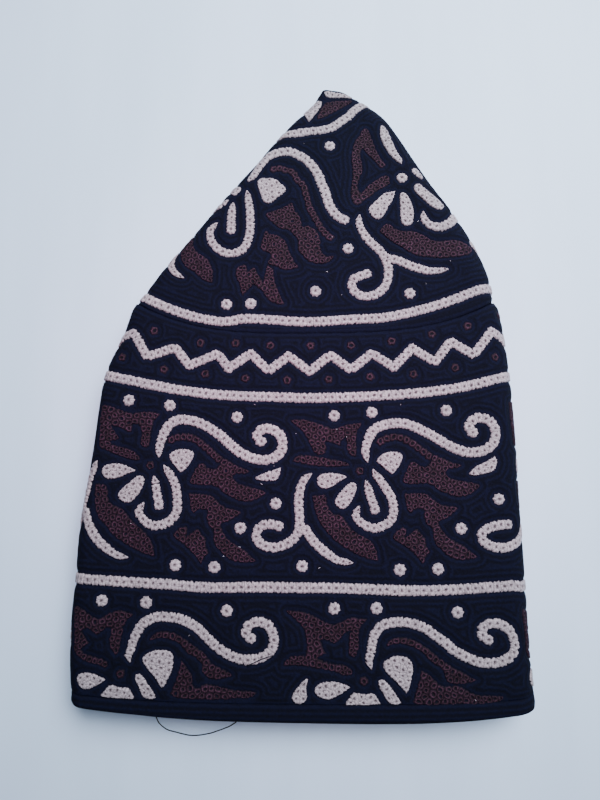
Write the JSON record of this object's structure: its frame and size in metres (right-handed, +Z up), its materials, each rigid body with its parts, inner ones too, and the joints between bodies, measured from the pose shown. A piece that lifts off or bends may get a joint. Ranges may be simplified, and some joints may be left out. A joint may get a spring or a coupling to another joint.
{
  "type": "prayer cap",
  "caption": "A soft round embroidered prayer cap with a flat crown and a tall quilted side band, folded flat in quarters and lying on its side, hollow between its layers.",
  "frame": {"origin": "centre of the folded cap's bounding box, on the surface it lies on", "axes": "+X runs along the folded hem to the nested fold, +Y points from the hem to the folded centre of the crown, +Z is up, away from the surface"},
  "size_m": [0.1405, 0.2079, 0.0159],
  "materials": {
    "crown_cloth": "navy quilted cotton with off-white and maroon eyelet embroidery",
    "band_cloth": "navy quilted cotton with off-white and maroon eyelet embroidery",
    "hem_cloth": "plain navy cotton, stitched in rows"
  },
  "bodies": {
    "root": {"crown": "crown_cloth", "side_band": "band_cloth", "hem_binding": "hem_cloth"}
  },
  "joints": []
}
